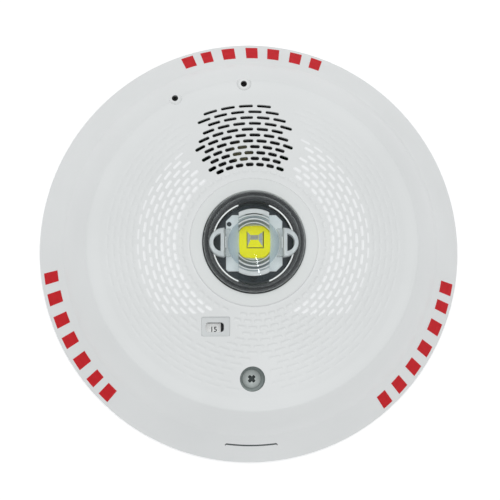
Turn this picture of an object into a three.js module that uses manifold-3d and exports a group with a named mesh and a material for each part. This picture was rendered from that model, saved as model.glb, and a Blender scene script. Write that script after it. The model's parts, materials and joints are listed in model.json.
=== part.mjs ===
// Ceiling horn strobe: mounting plate with terminals, and a hinged head that
// carries the LED strobe, the piezo horn, their circuit board and the covers.
// Millimetres. +Z points out of the lens, z = 0 is the back of the mounting
// plate, and the lens axis is the Z axis. The fixing screw is on the -Y side.
import * as THREE from 'three';
import { mergeVertices } from 'three/addons/utils/BufferGeometryUtils.js';
import Module from 'manifold-3d';

const wasm = await Module();
wasm.setup();

// ---------------------------------------------------------------- dimensions
const GAP = 0.3;                    // clearance between pieces that touch

const RIM_R = 86.4;                 // front cover, outer radius at the ceiling
const RIM_Z = 0.6;                  // lower edge of the front cover
const WALL = 2.3;                   // front cover wall
const CREASE = { r: 74.9, z: 20.4 };    // where the flared skirt meets the shoulder
const FACE_EDGE = { r: 64.9, z: 38.2 }; // outer edge of the face
const CONE_OUT = { r: 59.6, z: 39.3 };  // the conical face, outer end
const CONE_IN = { r: 26.2, z: 49.3 };   // the conical face, inner end
const COLLAR_R = 24.5;
const COLLAR_Z = 50.6;
const LENS_HOLE_R = 19.7;
const COVER_STEPS = 60;

const GRILLE_CELLS = 48;            // slots per full ring
const GRILLE_R0 = 30.1;             // innermost slot row
const GRILLE_PITCH = 2.39;          // radial distance between rows
const GRILLE_ROWS = [               // first slot angle in degrees, slot count
  [70, 7], [73.75, 7], [70, 7], [73.75, 7], [70, 7], [73.75, 7],
  [77.5, 6], [73.75, 6], [77.5, 5], [81.25, 5], [85, 4],
];
const SLOT_SPAN_DEG = 5.9;
const SLOT_WIDTH_IN = 1.5;
const SLOT_WIDTH_OUT = 1.1;

const WINDOW = { x: -14.95, y: -32.2, w: 7.0, h: 3.6 };   // candela window
const WINDOW_POCKET = { x: -14.6, y: -31.97, w: 11.0, h: 7.5, depth: 1.0 };
const CHIMNEY_WALL = 1.2;
const CHIMNEY_Z = 37.7;

const SCREW = { x: -0.45, y: -52.0 };
const WELL_R = 5.0;
const WELL_WALL = 1.4;
const WELL_FLOOR = { low: 28.0, high: 30.0 };
const WELL_HOLE_R = 2.6;
const SCREW_R = 2.1;
const SCREW_HEAD_R = 3.6;
const SCREW_HEAD_H = 2.3;
const SCREW_TIP_Z = 3.4;
const SCREW_CROSS = { l: 3.8, w: 0.8, depth: 1.3 };
const SCREW_POINT = { r: 0.9, h: 1.4 };

const TEST_HOLES = [{ x: -30.3, y: 57.65 }, { x: -3.3, y: 63.4 }];
const TEST_HOLE_R = 1.25;
const TEST_CUP_R = 2.9;

const RIM_SLOT = {
  middleDeg: 270, halfAngleDeg: 7.5, inner: 70, outer: 92, z: 14.3, height: 0.8, steps: 6,
};

const COVER_SCREW_R = 63.5;         // pitch radius of the four cover screws
const COVER_SCREW_ANGLES = [45, 135, 225, 315];
const REAR_Z = { low: 11.0, high: 13.0 };
const REAR_R = 75.5;
const HOOK_X = 14;                  // the two hooks stand this far off the middle
const HOOK_W = 7;
const HOOK_LOW = 3.0;               // underside of the hook feet
const LIP_TOP = 9.8;                // top of the plate's lips
const COVER_BOSS = { r: 3.4, bore: 1.75, boreTop: 24, high: 36 };
const COVER_SCREW = { headR: 3.2, shankR: 1.4, low: 8.9, high: 22, slot: 4.2, slotW: 0.9 };
const REAR_RIB = { outer: 73.5, inner: 71.5, high: 16 };
const REAR_PORT_R = 4.6;            // holes for the screw and the tone dial

const BOARD_R = 58;
const BOARD_Z = { low: 20.0, high: 21.6 };

const LENS_R = 19.3;
const LENS_TOP = 64.0;
const LENS_SHOULDER_Z = 52.0;
const LENS_WALL = 1.6;
const LENS_FLANGE = { r: 22.0, low: 45.0, high: 46.8 };
const LENS_FRAME = { inner: 15.6, outer: 24.4, low: 40.7, high: 44.7 };
const OPTIC_ARM_W = 11.5;
const LED_OPTIC_R = 10.3;
const OPTIC = { low: 45.0, high: 51.5, armL: 32.6, lobeX: 11.3, frameR: 16.9, trimR: 17.2 };
const LED_CROWN = { base: 43.9, top: 50.6, band: 1.2 };
const REFLECTOR = { half: 10.9, chamfer: 2.4, low: 40.7, high: 42.4 };
const SINK = { w: 21, h: 29, low: 33.0, high: 38.7, fins: 6, firstX: -8.4, pitch: 3.36, groove: 1.5 };
const LED_BOARD = { r: 15.2, low: 39.0, high: 40.4 };
const LED_SCREW = { y: 12.9, headR: 1.7, shankR: 0.9, bore: 1.2 };

const HORN = { x: -3.2, y: 41.9, r: 16.5, low: 21.9, high: 35.4, wall: 1.6 };
const PIEZO_Z = 27.0;

const SLIDE = { x: -15, w: 7.0, low: 36.0, high: 37.2, pitch: 3.4, count: 7 };
const SLIDE_STEM = { w: 3.0, l: 4.0, y: -50.5, low: 9.2 };
const SLIDE_TRAVEL = SLIDE.pitch * (SLIDE.count - 1);

const SLIDE_SLOT = { margin: 1.2, w: SLIDE_STEM.w + 1.0 };

const TONE = { x: 26, y: -38 };
const TONE_DIAL = { r: 3.9, low: 10.4, high: 16.0, slot: 6.4 };

const PLATE_R = 76;
const PLATE_T = 2.4;
const PLATE_RIB = { outer: 58, inner: 56.4, high: 5 };
const SCREW_BOSS = { r: 6.2, bore: 3.1, high: 9.5 };
const WIRE_OPENING = { w: 46, h: 26, y: 14 };
const BOX_SLOTS = [                 // direction in degrees, distance, length
  [0, 44.45, 12], [180, 44.45, 12], [90, 41.65, 12], [-90, 38.6, 8],
];
const BOX_SLOT_W = 4.4;
const TERMINAL_X = [-7.5, 3.0, 13.5, 24.0];
const TERMINAL_MID_X = 8.25;
const TERMINAL_Y = -15.5;
const BLADE_Y = -27;
const TERMINAL = { w: 45, h: 14, low: 3.8, high: 9.6, cellW: 8.4 };
const SPRING_W = 4.4;

// ----------------------------------------------------------------- materials
function material(color, roughness, metalness = 0) {
  return new THREE.MeshStandardMaterial({ color, roughness, metalness });
}

function clearMaterial(color, opacity) {
  const clear = material(color, 0.05);
  clear.transparent = true;
  clear.opacity = opacity;
  return clear;
}

const housingWhite = () => material(0xe9ecef, 0.35);
const zinc = () => material(0x9aa29b, 0.35, 0.9);
const brass = () => material(0xc39b45, 0.35, 0.9);
const blackPlastic = () => material(0x17181a, 0.45);
const boardGreen = () => material(0x1d5a34, 0.5);
const clearPlastic = () => clearMaterial(0xeef3f6, 0.3);

// ---------------------------------------------------------------- solid tools
function signedVolume(positions, indices) {
  let six = 0;
  const a = new THREE.Vector3();
  const b = new THREE.Vector3();
  const c = new THREE.Vector3();
  for (let i = 0; i < indices.length; i += 3) {
    a.fromArray(positions, 3 * indices[i]);
    b.fromArray(positions, 3 * indices[i + 1]);
    c.fromArray(positions, 3 * indices[i + 2]);
    six += a.dot(b.cross(c));
  }
  return six / 6;
}

// A closed three.js geometry as a manifold solid that faces outwards.
function solid(geometry) {
  const bare = geometry.clone();
  bare.deleteAttribute('normal');
  bare.deleteAttribute('uv');
  const merged = mergeVertices(bare, 1e-4);
  const vertProperties = new Float32Array(merged.attributes.position.array);
  const triVerts = new Uint32Array(merged.index.array);
  if (signedVolume(vertProperties, triVerts) < 0) {
    for (let i = 0; i < triVerts.length; i += 3) {
      [triVerts[i], triVerts[i + 1]] = [triVerts[i + 1], triVerts[i]];
    }
  }
  return new wasm.Manifold(new wasm.Mesh({ numProp: 3, vertProperties, triVerts }));
}

function geometryOf(body) {
  const mesh = body.getMesh();
  const geometry = new THREE.BufferGeometry();
  geometry.setAttribute('position', new THREE.BufferAttribute(mesh.vertProperties, 3));
  geometry.setIndex(new THREE.BufferAttribute(mesh.triVerts, 1));
  geometry.computeVertexNormals();
  return geometry;
}

function disc(r, low, high, x = 0, y = 0, steps = 24) {
  const geometry = new THREE.CylinderGeometry(r, r, high - low, steps);
  geometry.rotateX(Math.PI / 2);
  geometry.translate(x, y, (low + high) / 2);
  return solid(geometry);
}

function cone(rLow, rHigh, low, high, x = 0, y = 0, steps = 24) {
  const geometry = new THREE.CylinderGeometry(rHigh, rLow, high - low, steps);
  geometry.rotateX(Math.PI / 2);
  geometry.translate(x, y, (low + high) / 2);
  return solid(geometry);
}

function ring(rOut, rIn, low, high, x = 0, y = 0, steps = 24) {
  return disc(rOut, low, high, x, y, steps).subtract(disc(rIn, low - 1, high + 1, x, y, steps));
}

function block(cx, cy, w, h, low, high) {
  const geometry = new THREE.BoxGeometry(w, h, high - low);
  geometry.translate(cx, cy, (low + high) / 2);
  return solid(geometry);
}

function turned(points, steps) {
  const profile = points.map(([r, z]) => new THREE.Vector2(r, z));
  const first = profile[0];
  const last = profile[profile.length - 1];
  const onAxis = first.x === 0 && last.x === 0;
  if (!onAxis) profile.push(first.clone());
  const geometry = new THREE.LatheGeometry(profile, steps);
  geometry.rotateX(Math.PI / 2);
  return solid(geometry);
}

function prism(points, low, high) {
  const shape = new THREE.Shape(points.map(([x, y]) => new THREE.Vector2(x, y)));
  const geometry = new THREE.ExtrudeGeometry(shape, { depth: high - low, bevelEnabled: false });
  geometry.translate(0, 0, low);
  return solid(geometry);
}

function polar(r, degrees) {
  const a = THREE.MathUtils.degToRad(degrees);
  return [r * Math.cos(a), r * Math.sin(a)];
}

const group = new THREE.Group();
group.name = 'horn_strobe';

function add(name, body, look) {
  const mesh = new THREE.Mesh(geometryOf(body), look);
  mesh.name = name;
  group.add(mesh);
}

// ---------------------------------------------------------------- front cover
const faceSlope = (CONE_IN.z - CONE_OUT.z) / (CONE_OUT.r - CONE_IN.r);

function faceHeight(x, y) {
  return CONE_IN.z - faceSlope * (Math.hypot(x, y) - CONE_IN.r);
}

function coverProfile() {
  const outer = [
    [LENS_HOLE_R, COLLAR_Z - 2.4], [LENS_HOLE_R, COLLAR_Z - 0.5], [LENS_HOLE_R + 0.5, COLLAR_Z],
    [COLLAR_R, COLLAR_Z], [COLLAR_R + 0.1, COLLAR_Z - 1.1], [COLLAR_R + 0.9, COLLAR_Z - 1.1],
    [CONE_IN.r, CONE_IN.z], [CONE_OUT.r, CONE_OUT.z],
    [FACE_EDGE.r - 0.7, FACE_EDGE.z + 0.5], [FACE_EDGE.r, FACE_EDGE.z],
    [67.6, 35.2], [70.3, 31.2], [72.8, 26.2], [CREASE.r, CREASE.z],
    [RIM_R - 0.7, 3.7], [RIM_R, 2.4], [RIM_R, RIM_Z],
  ];
  const inner = [
    [RIM_R - WALL, RIM_Z], [RIM_R - WALL - 0.6, 3.0], [CREASE.r - WALL, CREASE.z - 0.8],
    [70.6, 25.4], [67.2, 31.8], [FACE_EDGE.r - 1.5, 36.0],
    [CONE_OUT.r - 0.4, CONE_OUT.z - WALL], [CONE_IN.r + 0.4, CONE_IN.z - WALL],
    [COLLAR_R - 0.5, COLLAR_Z - 2.4],
  ];
  return [...outer, ...inner];
}

// The space under the face, used to trim pieces that reach up to it.
function underFace(below) {
  return turned([
    [0, 5], [CONE_OUT.r - 0.4, 5], [CONE_OUT.r - 0.4, CONE_OUT.z - WALL - below],
    [CONE_IN.r + 0.4, CONE_IN.z - WALL - below], [0, CONE_IN.z - WALL - below],
  ], COVER_STEPS);
}

function slotCutter(r, centreDeg, width) {
  const half = SLOT_SPAN_DEG / 2;
  const endDeg = THREE.MathUtils.radToDeg(width / 2 / r);
  const corners = [
    [r - width / 2, half - endDeg], [r, half], [r + width / 2, half - endDeg],
    [r + width / 2, -half + endDeg], [r, -half], [r - width / 2, -half + endDeg],
  ];
  return prism(corners.map(([cr, da]) => polar(cr, centreDeg + da)), 33, 50);
}

function cutGrille(body) {
  let result = body;
  const cell = 360 / GRILLE_CELLS;
  GRILLE_ROWS.forEach(([firstDeg, count], row) => {
    const r = GRILLE_R0 + row * GRILLE_PITCH;
    const blend = row / (GRILLE_ROWS.length - 1);
    const width = SLOT_WIDTH_IN + (SLOT_WIDTH_OUT - SLOT_WIDTH_IN) * blend;
    for (let i = 0; i < count; i += 1) {
      result = result.subtract(slotCutter(r, firstDeg + 0.3 + i * cell, width));
    }
  });
  return result;
}

// The window stands over a short chimney, so only the number strip is seen.
function addCandelaWindow(body) {
  const { x, y, w, h } = WINDOW;
  const wall = 2 * CHIMNEY_WALL;
  const top = faceHeight(x, y);
  const chimney = block(x, y, w + wall, h + wall, CHIMNEY_Z, top - 1.6);
  const pocket = WINDOW_POCKET;
  return body
    .add(chimney)
    .subtract(block(pocket.x, pocket.y, pocket.w, pocket.h, top - pocket.depth, top + 4))
    .subtract(block(x, y, w, h, CHIMNEY_Z - 1, top + 4));
}

function cutWellMouth(body) {
  const top = faceHeight(SCREW.x, SCREW.y) + 6;
  return body.subtract(disc(WELL_R, WELL_FLOOR.high, top, SCREW.x, SCREW.y, 24));
}

// The deep well whose floor the fixing screw pulls on.
function screwWell() {
  const { x, y } = SCREW;
  const top = 50;
  return disc(WELL_R + WELL_WALL, WELL_FLOOR.low, top, x, y, 24)
    .subtract(disc(WELL_R, WELL_FLOOR.high, top + 1, x, y, 24))
    .subtract(disc(WELL_HOLE_R, WELL_FLOOR.low - 1, WELL_FLOOR.high + 1, x, y, 20))
    .intersect(underFace(GAP));
}

function addCoverBosses(body) {
  let result = body;
  for (const degrees of COVER_SCREW_ANGLES) {
    const [x, y] = polar(COVER_SCREW_R, degrees);
    result = result
      .add(disc(COVER_BOSS.r, REAR_Z.high + GAP, COVER_BOSS.high, x, y, 16))
      .subtract(disc(COVER_BOSS.bore, REAR_Z.high - 1, COVER_BOSS.boreTop, x, y, 12));
  }
  return result;
}

function cutTestHoles(body) {
  const { z } = FACE_EDGE;
  let result = body;
  for (const { x, y } of TEST_HOLES) {
    result = result
      .subtract(cone(TEST_CUP_R - 1.0, TEST_CUP_R + 0.5, z - 1.2, z + 1.2, x, y, 16))
      .subtract(disc(TEST_HOLE_R, z - 8, z + 4, x, y, 12));
  }
  return result;
}

// A thin arc-shaped slot through the skirt, opposite the hooks.
function cutRimSlot(body) {
  const { middleDeg, halfAngleDeg, inner, outer, z, height, steps } = RIM_SLOT;
  const outerArc = [];
  const innerArc = [];
  for (let i = 0; i <= steps; i += 1) {
    const degrees = middleDeg - halfAngleDeg + (2 * halfAngleDeg * i) / steps;
    outerArc.push(polar(outer, degrees));
    innerArc.push(polar(inner, degrees));
  }
  const points = [...outerArc, ...innerArc.reverse()];
  return body.subtract(prism(points, z - height / 2, z + height / 2));
}

function frontCover() {
  let body = turned(coverProfile(), COVER_STEPS);
  body = addCoverBosses(body);
  body = cutWellMouth(body);
  body = addCandelaWindow(body);
  body = cutTestHoles(body);
  body = cutRimSlot(body);
  return cutGrille(body);
}

// ----------------------------------------------------------------- rear cover
// The slot the candela slide's stem travels in, between two heights.
function slideSlot(low, high) {
  const length = SLIDE_TRAVEL + SLIDE_STEM.l + SLIDE_SLOT.margin;
  const y = SLIDE_STEM.y + SLIDE_TRAVEL / 2;
  return block(SLIDE.x, y, SLIDE_SLOT.w, length, low, high);
}

// Two feet hook under the lips of the mounting plate when the head is closed.
function hookTab(x) {
  const tab = block(x, 67.25, HOOK_W, 1.5, HOOK_LOW, REAR_Z.low + 0.5);
  const foot = block(x, 68.9, HOOK_W, 3.8, HOOK_LOW, HOOK_LOW + 1.4);
  return tab.add(foot);
}

function rearCover() {
  const { low, high } = REAR_Z;
  const rib = REAR_RIB;
  let body = disc(REAR_R, low, high, 0, 0, 40)
    .add(ring(rib.outer, rib.inner, high - 0.5, rib.high, 0, 0, 40))
    .subtract(block(TERMINAL_MID_X, BLADE_Y, 37, 8, low - 1, high + 1))
    .subtract(disc(REAR_PORT_R, low - 1, high + 1, SCREW.x, SCREW.y))
    .subtract(disc(REAR_PORT_R, low - 1, high + 1, TONE.x, TONE.y))
    .subtract(slideSlot(low - 1, high + 1));
  for (const degrees of COVER_SCREW_ANGLES) {
    const [x, y] = polar(COVER_SCREW_R, degrees);
    body = body.subtract(disc(COVER_BOSS.bore, low - 1, high + 1, x, y, 12));
  }
  return body.add(hookTab(HOOK_X)).add(hookTab(-HOOK_X));
}

function coverScrew(degrees) {
  const [x, y] = polar(COVER_SCREW_R, degrees);
  const { headR, shankR, low, high, slot, slotW } = COVER_SCREW;
  return disc(headR, low, REAR_Z.low - GAP, x, y, 16)
    .add(disc(shankR, low + 1.1, high, x, y, 12))
    .subtract(block(x, y, slot, slotW, low - 0.9, low + 0.8))
    .subtract(block(x, y, slotW, slot, low - 0.9, low + 0.8));
}

// ------------------------------------------------------------- strobe and lens
function lensDome() {
  const rise = LENS_TOP - LENS_SHOULDER_Z;
  const steps = 6;
  const outer = [];
  const inner = [];
  for (let i = 0; i <= steps; i += 1) {
    const a = (Math.PI / 2) * (i / steps);
    outer.push([LENS_R * Math.cos(a), LENS_SHOULDER_Z + rise * Math.sin(a)]);
    inner.push([
      (LENS_R - LENS_WALL) * Math.cos(a),
      LENS_SHOULDER_Z + (rise - LENS_WALL) * Math.sin(a),
    ]);
  }
  outer[steps][0] = 0;
  inner[steps][0] = 0;
  const flange = LENS_FLANGE;
  const points = [
    ...inner.reverse(),
    [LENS_R - LENS_WALL, flange.low], [flange.r, flange.low], [flange.r, flange.high],
    [LENS_R, flange.high],
    ...outer,
  ];
  return turned(points, 32);
}

// A clear cross under the dome: two saddle arms and two round side lobes.
function crossOptic() {
  const arm = OPTIC_ARM_W;
  const hole = LED_OPTIC_R + GAP + 0.2;
  const { low, high, armL, lobeX, frameR, trimR } = OPTIC;
  let body = block(0, 0, arm, armL, low, high);
  for (const side of [-1, 1]) {
    body = body.add(block(side * 6, 0, 11, arm, low, high - 1.5));
    body = body.add(disc(arm / 2, low, high - 1.5, side * lobeX, 0, 20));
  }
  body = body.subtract(disc(hole, low - 1, high + 1, 0, 0, 32));
  const frame = ring(frameR, hole, low, low + 1.4, 0, 0, 32);
  return body.add(frame).intersect(disc(trimR, low - 1, high + 1, 0, 0, 32));
}

function ledOptic() {
  const { base, top, band } = LED_CROWN;
  const points = [[0, base], [LED_OPTIC_R, base], [LED_OPTIC_R, base + band]];
  const steps = 4;
  for (let i = 1; i <= steps; i += 1) {
    const a = (Math.PI / 2) * (i / steps);
    const r = i === steps ? 0 : LED_OPTIC_R * Math.cos(a);
    points.push([r, base + band + (top - base - band) * Math.sin(a)]);
  }
  return turned(points, 32);
}

function reflectorPlate() {
  const { half, chamfer, low, high } = REFLECTOR;
  const cut = half - chamfer;
  const points = [
    [cut, -half], [half, -cut], [half, cut], [cut, half],
    [-cut, half], [-half, cut], [-half, -cut], [-cut, -half],
  ];
  return prism(points, low, high);
}

function heatSink() {
  const { w, h, low, high, fins, firstX, pitch, groove } = SINK;
  let body = block(0, 0, w, h, low, high);
  for (let i = 0; i < fins; i += 1) {
    body = body.subtract(block(firstX + i * pitch, 0, groove, h + 2, low - 1, low + 3.6));
  }
  for (const y of [-LED_SCREW.y, LED_SCREW.y]) {
    body = body.subtract(disc(LED_SCREW.bore, high - 2.7, high + 1.3, 0, y, 12));
  }
  return body;
}

function ledBoard() {
  const { r, low, high } = LED_BOARD;
  let body = disc(r, low, high, 0, 0, 36);
  for (const y of [-LED_SCREW.y, LED_SCREW.y]) {
    body = body.subtract(disc(LED_SCREW.bore, low - 1, high + 1, 0, y, 12));
  }
  return body;
}

function ledScrew(y) {
  const seat = LED_BOARD.high + GAP;
  return disc(LED_SCREW.headR, seat, seat + 1.1, 0, y, 12)
    .add(disc(LED_SCREW.shankR, seat - 4.2, seat + 0.3, 0, y, 12));
}

// ------------------------------------------------------------------------ horn
function hornBody() {
  const { x, y, r, low, high, wall } = HORN;
  return disc(r, low, high, x, y, 28)
    .subtract(disc(r - wall, low + 1.6, high + 1, x, y, 28))
    .add(ring(r - wall + 0.3, 12.2, PIEZO_Z - 2.2, PIEZO_Z - GAP, x, y, 28));
}

function hornGasket() {
  const { x, y, r, high, wall } = HORN;
  return ring(r, r - wall, high + GAP, 50, x, y, 28).intersect(underFace(GAP));
}

// ---------------------------------------------------------------- main board
function mainBoard() {
  const { low, high } = BOARD_Z;
  return disc(BOARD_R, low, high, 0, 0, 36)
    .subtract(disc(5.5, low - 1, high + 1, SCREW.x, SCREW.y))
    .subtract(slideSlot(low - 1, high + 1));
}

function capacitor(x, y, r, height) {
  const low = BOARD_Z.high + GAP;
  const groove = ring(r + 1, r - 0.5, low + 1.4, low + 2.1, x, y, 20);
  return disc(r, low, low + height, x, y, 20).subtract(groove);
}

function inductor(x, y) {
  const low = BOARD_Z.high + GAP;
  return disc(6, low, low + 1.4, x, y, 20)
    .add(disc(4.6, low + 1, low + 6, x, y, 20))
    .add(disc(6, low + 5.6, low + 7, x, y, 20));
}

function chipWithLegs(cx, cy, side) {
  const low = BOARD_Z.high + GAP;
  let body = block(cx, cy, side, side, low + 0.3, low + 1.7);
  const legs = 6;
  for (let i = 0; i < legs; i += 1) {
    const offset = (i - (legs - 1) / 2) * 1.5;
    body = body.add(block(cx + offset, cy, 0.5, side + 2.4, low, low + 0.8));
  }
  return body;
}

function boardHeader() {
  const low = BOARD_Z.high + GAP;
  return block(24, 30, 12, 5, low, low + 6).subtract(block(24, 30, 10, 3.2, low + 1.5, low + 8));
}

function contactBlade(x) {
  return block(x, BLADE_Y, 0.8, 3.0, 5.6, BOARD_Z.low - GAP);
}

// ---------------------------------------------------------- candela selector
function candelaSlide() {
  const length = SLIDE.pitch * SLIDE.count;
  const front = WINDOW.y + SLIDE.pitch / 2;
  const stem = SLIDE_STEM;
  return block(SLIDE.x, front - length / 2, SLIDE.w, length, SLIDE.low, SLIDE.high)
    .add(block(SLIDE.x, stem.y, stem.w, stem.l, stem.low, SLIDE.low + 0.5))
    .add(block(SLIDE.x, stem.y, stem.w + 2.4, stem.l + 1.6, stem.low, REAR_Z.low - GAP));
}

function candelaSwitchBody() {
  const low = BOARD_Z.high + GAP;
  const slotLength = SLIDE_TRAVEL + SLIDE_STEM.l + 1.0;
  const slotY = SLIDE_STEM.y + SLIDE_TRAVEL / 2;
  return block(SLIDE.x, slotY, 8.0, slotLength + 3, low, low + 4.5)
    .subtract(block(SLIDE.x, slotY, SLIDE_STEM.w + 0.8, slotLength, low - 1, low + 6));
}

// --------------------------------------------------------------- tone selector
function toneSwitchBody() {
  return block(TONE.x, TONE.y, 10, 10, TONE_DIAL.high + GAP, BOARD_Z.low - GAP);
}

function toneDial() {
  const { r, low, high, slot } = TONE_DIAL;
  return disc(r, low, high, TONE.x, TONE.y, 24)
    .subtract(block(TONE.x, TONE.y, 1.0, slot, low - 1.4, low + 1.4));
}

// --------------------------------------------------------------- fixing screw
function mountingScrew() {
  const { x, y } = SCREW;
  const seat = WELL_FLOOR.high + GAP;
  const top = seat + SCREW_HEAD_H;
  const brim = seat + SCREW_HEAD_H * 0.6;
  const neck = SCREW_TIP_Z + SCREW_POINT.h;
  const { l, w, depth } = SCREW_CROSS;
  return disc(SCREW_R, neck, seat + 0.5, x, y, 20)
    .add(cone(SCREW_POINT.r, SCREW_R, SCREW_TIP_Z, neck, x, y, 20))
    .add(disc(SCREW_HEAD_R, seat, brim, x, y, 24))
    .add(cone(SCREW_HEAD_R, SCREW_HEAD_R * 0.72, brim, top, x, y, 24))
    .subtract(block(x, y, l, w, top - depth, top + 1))
    .subtract(block(x, y, w, l, top - depth, top + 1));
}

function retainingWasher() {
  return ring(3.9, SCREW_R + GAP, 20.2, 21.2, SCREW.x, SCREW.y, 24);
}

// -------------------------------------------------------------- mounting plate
function slottedHole(degrees, r, length, width) {
  const [x, y] = polar(r, degrees);
  const geometry = new THREE.BoxGeometry(length, width, PLATE_T + 4);
  geometry.rotateZ(THREE.MathUtils.degToRad(degrees));
  geometry.translate(x, y, PLATE_T / 2);
  return solid(geometry);
}

function mountingPlate() {
  const rib = PLATE_RIB;
  const boss = SCREW_BOSS;
  let body = disc(PLATE_R, 0, PLATE_T, 0, 0, 48)
    .add(ring(rib.outer, rib.inner, PLATE_T - 0.5, rib.high, 0, 0, 32))
    .subtract(block(0, WIRE_OPENING.y, WIRE_OPENING.w, WIRE_OPENING.h, -1, rib.high + 1));
  for (const [degrees, r, length] of BOX_SLOTS) {
    body = body.subtract(slottedHole(degrees, r, length, BOX_SLOT_W));
  }
  body = body
    .add(disc(boss.r, PLATE_T - 0.5, boss.high, SCREW.x, SCREW.y, 24))
    .subtract(disc(boss.bore, PLATE_T / 2, boss.high + 1, SCREW.x, SCREW.y, 24));
  for (const x of [HOOK_X, -HOOK_X]) {
    const post = block(x, 73.0, HOOK_W + 1, 1.6, PLATE_T - 0.5, LIP_TOP);
    const lip = block(x, 71.85, HOOK_W + 1, 3.9, LIP_TOP - 1.1, LIP_TOP);
    body = body.add(post).add(lip);
  }
  return body;
}

function terminalBlock() {
  const { w, h, low, high, cellW } = TERMINAL;
  let body = block(TERMINAL_MID_X, TERMINAL_Y, w, h, low, high);
  for (const x of TERMINAL_X) {
    body = body.subtract(block(x, TERMINAL_Y + 2, cellW, h - 2, low - 0.8, high + 1.4));
  }
  return body;
}

function terminalScrew(x) {
  const y = TERMINAL_Y + 1;
  return disc(1.6, 3.9, 7.6, x, y, 16)
    .add(disc(3.1, 7.4, 9.4, x, y, 16))
    .subtract(block(x, y, 4.6, 0.8, 8.5, 10));
}

function clampPlate(x) {
  const y = TERMINAL_Y + 1;
  return block(x, y, 7.6, 7.6, 5.4, 6.4).subtract(disc(1.95, 5, 7, x, y, 16));
}

function contactSpring(x) {
  const low = PLATE_T + GAP;
  const strip = block(x, -19, SPRING_W, 20.4, low, low + 0.8);
  const leafA = block(x - 1.5, BLADE_Y, 0.8, SPRING_W, low + 0.3, low + 5.9);
  const leafB = block(x + 1.5, BLADE_Y, 0.8, SPRING_W, low + 0.3, low + 5.9);
  return strip.add(leafA).add(leafB);
}

// A leaf that bridges the loop until the head's contacts push it aside.
function shortingSpring() {
  const points = [
    [-9, 2.7], [-6, 2.7], [-2, 6.0], [2, 6.0], [6, 2.7], [9, 2.7], [9, 3.3],
    [6.25, 3.3], [2.25, 6.6], [-2.25, 6.6], [-6.25, 3.3], [-9, 3.3],
  ];
  const shape = new THREE.Shape(points.map(([x, z]) => new THREE.Vector2(x, z)));
  const geometry = new THREE.ExtrudeGeometry(shape, { depth: 3, bevelEnabled: false });
  geometry.rotateX(Math.PI / 2);
  geometry.translate(TERMINAL_MID_X, -33, 0);
  return solid(geometry);
}

// ------------------------------------------------------------------- assembly
add('mounting_plate', mountingPlate(), material(0xdfe3e6, 0.45));
add('terminal_block', terminalBlock(), blackPlastic());
TERMINAL_X.forEach((x, i) => {
  add(`terminal_screw_${i + 1}`, terminalScrew(x), zinc());
  add(`clamp_plate_${i + 1}`, clampPlate(x), zinc());
  add(`contact_spring_${i + 1}`, contactSpring(x), brass());
});
add('shorting_spring', shortingSpring(), brass());

add('front_cover', frontCover(), housingWhite());
add('screw_well', screwWell(), housingWhite());
add('rear_cover', rearCover(), housingWhite());
COVER_SCREW_ANGLES.forEach((degrees, i) => {
  add(`cover_screw_${i + 1}`, coverScrew(degrees), zinc());
});

add('lens_dome', lensDome(), clearPlastic());
add('lens_gasket', ring(22, 20.1, 47.1, 47.9, 0, 0, 28), blackPlastic());
const frame = LENS_FRAME;
add('lens_frame', ring(frame.outer, frame.inner, frame.low, frame.high, 0, 0, 36), blackPlastic());
add('cross_optic', crossOptic(), clearPlastic());
add('led_optic', ledOptic(), clearPlastic());
add('led_phosphor', block(0.2, 0.1, 11.8, 12.7, 42.7, 43.6), material(0xf0e614, 0.5));
add('reflector_plate', reflectorPlate(), material(0xbcc8cd, 0.4, 0.2));
add('led_board', ledBoard(), material(0x3c4146, 0.5));
add('led_screw_1', ledScrew(LED_SCREW.y), zinc());
add('led_screw_2', ledScrew(-LED_SCREW.y), zinc());
add('heat_sink', heatSink(), material(0xb4b8bc, 0.4, 0.9));

add('horn_body', hornBody(), blackPlastic());
add('piezo_disc', disc(14.2, PIEZO_Z, PIEZO_Z + 0.6, HORN.x, HORN.y, 36), brass());
const ceramicLow = PIEZO_Z + 0.6 + GAP;
add('piezo_ceramic', disc(9, ceramicLow, ceramicLow + 0.5, HORN.x, HORN.y, 32), material(0xd9d6cc, 0.5));
add('horn_gasket', hornGasket(), blackPlastic());

add('main_board', mainBoard(), boardGreen());
add('capacitor_1', capacitor(34, 10, 6.3, 14), material(0x20242c, 0.4));
add('capacitor_2', capacitor(38, -8, 5, 12), material(0x20242c, 0.4));
add('capacitor_3', capacitor(-38, 14, 5, 12), material(0x20242c, 0.4));
add('inductor', inductor(-38, -8), material(0x6b4a2c, 0.5));
add('controller_chip', chipWithLegs(26, -26, 9), blackPlastic());
add('board_header', boardHeader(), material(0xe6e2d2, 0.5));
TERMINAL_X.forEach((x, i) => {
  add(`contact_blade_${i + 1}`, contactBlade(x), brass());
});

add('candela_switch_body', candelaSwitchBody(), blackPlastic());
add('candela_slide', candelaSlide(), material(0xf2f3f2, 0.45));
add('tone_switch_body', toneSwitchBody(), blackPlastic());
add('tone_dial', toneDial(), material(0xe8e4d0, 0.5));
add('mounting_screw', mountingScrew(), zinc());
add('retaining_washer', retainingWasher(), material(0x2a2c2e, 0.6));

export default group;
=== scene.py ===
"""Looks of the ceiling horn strobe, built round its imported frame."""
import json
import math

import bmesh
import bpy
from mathutils import Matrix, Vector


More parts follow.
